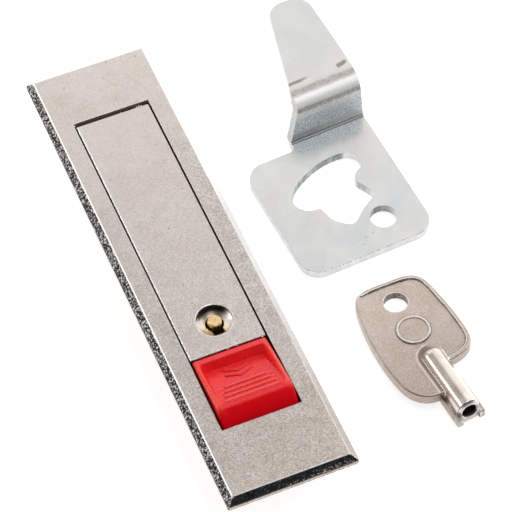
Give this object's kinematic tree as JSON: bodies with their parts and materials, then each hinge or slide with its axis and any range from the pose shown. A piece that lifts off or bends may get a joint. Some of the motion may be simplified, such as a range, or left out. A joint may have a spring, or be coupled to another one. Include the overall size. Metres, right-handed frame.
{
  "type": "flush panel lock with hook plate and key",
  "caption": "Flush lift-handle lock for a cabinet door, with a key lock and a red push button, and its loose bent hook plate and barrel key beside it.",
  "frame": {"origin": "middle of the face plate, on the plane where the plate's back meets the door panel", "axes": "X is the width, +Y runs along the plate to the end where the handle is hinged, and +Z points out of the door, away from the cabinet"},
  "size_m": [0.0774, 0.1311, 0.0202],
  "materials": {
    "satin_nickel": "satin nickel plate on a zinc casting",
    "key_nickel": "worn nickel plate on a cast key",
    "zinc_plate": "bright zinc plate on pressed steel",
    "steel": "plain turned steel",
    "spring_steel": "drawn wire",
    "chrome": "polished nickel",
    "brass": "turned brass",
    "red_plastic": "semi-gloss moulded plastic"
  },
  "bodies": {
    "lock": {"housing": "satin_nickel", "hinge_pin": "steel", "handle_spring": "spring_steel", "button_pin": "steel", "button_spring": "spring_steel", "pivot_washer": "zinc_plate", "spring_washer": "spring_steel", "pivot_screw": "zinc_plate"},
    "lift_handle": {"handle": "satin_nickel", "drive_lever": "zinc_plate", "lever_rivet": "steel", "lock_barrel": "chrome"},
    "key_core": {"lock_core": "chrome", "centre_pin": "brass", "core_clip": "spring_steel", "lock_tongue": "zinc_plate", "tongue_screw": "zinc_plate"},
    "button": {"push_button": "red_plastic"},
    "hook": {"hook_plate": "zinc_plate"},
    "loose_key": {"key": "key_nickel"}
  },
  "joints": [
    {"name": "handle_lift", "type": "hinge", "parent": "lock", "child": "lift_handle", "pos_m": [0, 0.0391, -0.0015], "axis": [-1, 0, 0], "range_deg": [0, 60]},
    {"name": "button_press", "type": "hinge", "parent": "lock", "child": "button", "pos_m": [0, -0.0365, -0.0063], "axis": [1, 0, 0], "range_deg": [0, 10], "stiffness_Nm_per_rad": 0.04, "springref_deg": -11.46, "deforming": ["button_spring"]},
    {"name": "core_turn", "type": "hinge", "parent": "lift_handle", "child": "key_core", "pos_m": [0, -0.0182, 0], "axis": [0, 0, -1], "range_deg": [0, 90]},
    {"name": "hook_pick_up", "type": "slide", "parent": "lock", "child": "hook", "axis": [0, 0, 1], "range_m": [0, 0.03]},
    {"name": "key_pick_up", "type": "slide", "parent": "lock", "child": "loose_key", "axis": [0, 0, 1], "range_m": [0, 0.03]}
  ]
}
